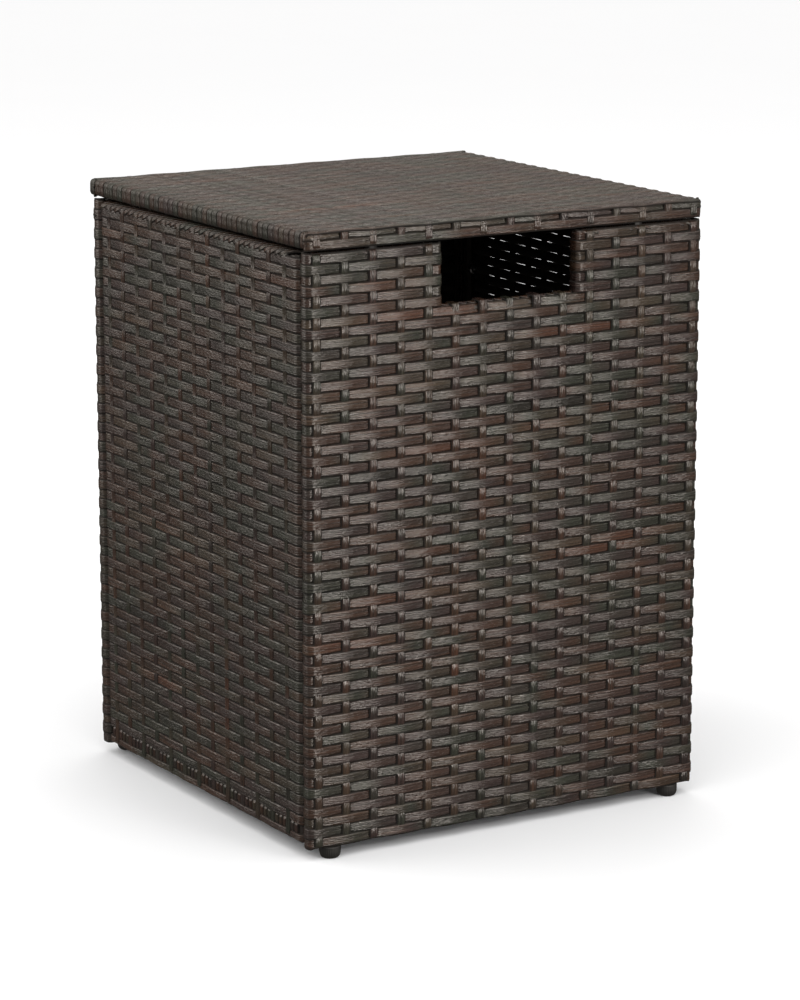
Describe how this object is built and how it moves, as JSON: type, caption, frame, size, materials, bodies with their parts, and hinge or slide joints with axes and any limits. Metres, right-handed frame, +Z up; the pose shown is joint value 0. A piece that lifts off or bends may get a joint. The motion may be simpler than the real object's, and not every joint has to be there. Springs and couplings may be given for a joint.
{
  "type": "propane tank cover table",
  "caption": "Square side table of flat resin wicker on a steel tube frame that drops over a gas bottle, with a lift-off lid, a hose slot in the front wall and levelling feet.",
  "frame": {"origin": "on the floor, under the middle of the table", "axes": "+Z up; the wall with the hose slot faces -Y; +X is to the right of someone facing that wall"},
  "size_m": [0.4, 0.4028, 0.543],
  "materials": {
    "resin_wicker": "flat extruded resin strands, satin, mixed dark brown and grey-brown",
    "powder_coated_steel": "dark brown powder coat, fine texture",
    "black_plastic": "moulded nylon, ribbed feet and plain pegs",
    "zinc_plated_steel": "bright zinc plate on bolts, studs and inserts"
  },
  "bodies": {
    "cover": {"front_weave": "resin_wicker", "back_weave": "resin_wicker", "left_weave": "resin_wicker", "right_weave": "resin_wicker", "front_left_post": "powder_coated_steel", "front_right_post": "powder_coated_steel", "back_left_post": "powder_coated_steel", "back_right_post": "powder_coated_steel", "left_front_stile": "powder_coated_steel", "left_back_stile": "powder_coated_steel", "right_front_stile": "powder_coated_steel", "right_back_stile": "powder_coated_steel", "front_bottom_rail": "powder_coated_steel", "back_bottom_rail": "powder_coated_steel", "left_bottom_rail": "powder_coated_steel", "right_bottom_rail": "powder_coated_steel", "front_left_top_rail": "powder_coated_steel", "front_right_top_rail": "powder_coated_steel", "back_top_rail": "powder_coated_steel", "left_top_rail": "powder_coated_steel", "right_top_rail": "powder_coated_steel", "slot_left_jamb": "powder_coated_steel", "slot_right_jamb": "powder_coated_steel", "front_sill_rail": "powder_coated_steel", "front_left_lower_bolt": "zinc_plated_steel", "front_left_upper_bolt": "zinc_plated_steel", "front_right_lower_bolt": "zinc_plated_steel", "front_right_upper_bolt": "zinc_plated_steel", "back_left_lower_bolt": "zinc_plated_steel", "back_left_upper_bolt": "zinc_plated_steel", "back_right_lower_bolt": "zinc_plated_steel", "back_right_upper_bolt": "zinc_plated_steel", "front_left_foot_insert": "zinc_plated_steel", "front_right_foot_insert": "zinc_plated_steel", "back_left_foot_insert": "zinc_plated_steel", "back_right_foot_insert": "zinc_plated_steel"},
    "lid": {"lid_weave": "resin_wicker", "lid_front_rail": "powder_coated_steel", "lid_right_rail": "powder_coated_steel", "lid_back_rail": "powder_coated_steel", "lid_left_rail": "powder_coated_steel", "lid_left_cross_bar": "powder_coated_steel", "lid_right_cross_bar": "powder_coated_steel", "front_left_lid_peg": "black_plastic", "front_right_lid_peg": "black_plastic", "back_left_lid_peg": "black_plastic", "back_right_lid_peg": "black_plastic"},
    "front_left_glide": {"front_left_foot": "black_plastic", "front_left_foot_stud": "zinc_plated_steel"},
    "front_right_glide": {"front_right_foot": "black_plastic", "front_right_foot_stud": "zinc_plated_steel"},
    "back_left_glide": {"back_left_foot": "black_plastic", "back_left_foot_stud": "zinc_plated_steel"},
    "back_right_glide": {"back_right_foot": "black_plastic", "back_right_foot_stud": "zinc_plated_steel"}
  },
  "joints": [
    {"name": "lid_lift", "type": "slide", "parent": "cover", "child": "lid", "axis": [0, 0, 1], "range_m": [0, 0.2]},
    {"name": "front_left_glide_screw", "type": "slide", "parent": "cover", "child": "front_left_glide", "axis": [0, 0, -1], "range_m": [0, 0.005]},
    {"name": "front_right_glide_screw", "type": "slide", "parent": "cover", "child": "front_right_glide", "axis": [0, 0, -1], "range_m": [0, 0.005]},
    {"name": "back_left_glide_screw", "type": "slide", "parent": "cover", "child": "back_left_glide", "axis": [0, 0, -1], "range_m": [0, 0.005]},
    {"name": "back_right_glide_screw", "type": "slide", "parent": "cover", "child": "back_right_glide", "axis": [0, 0, -1], "range_m": [0, 0.005]}
  ]
}
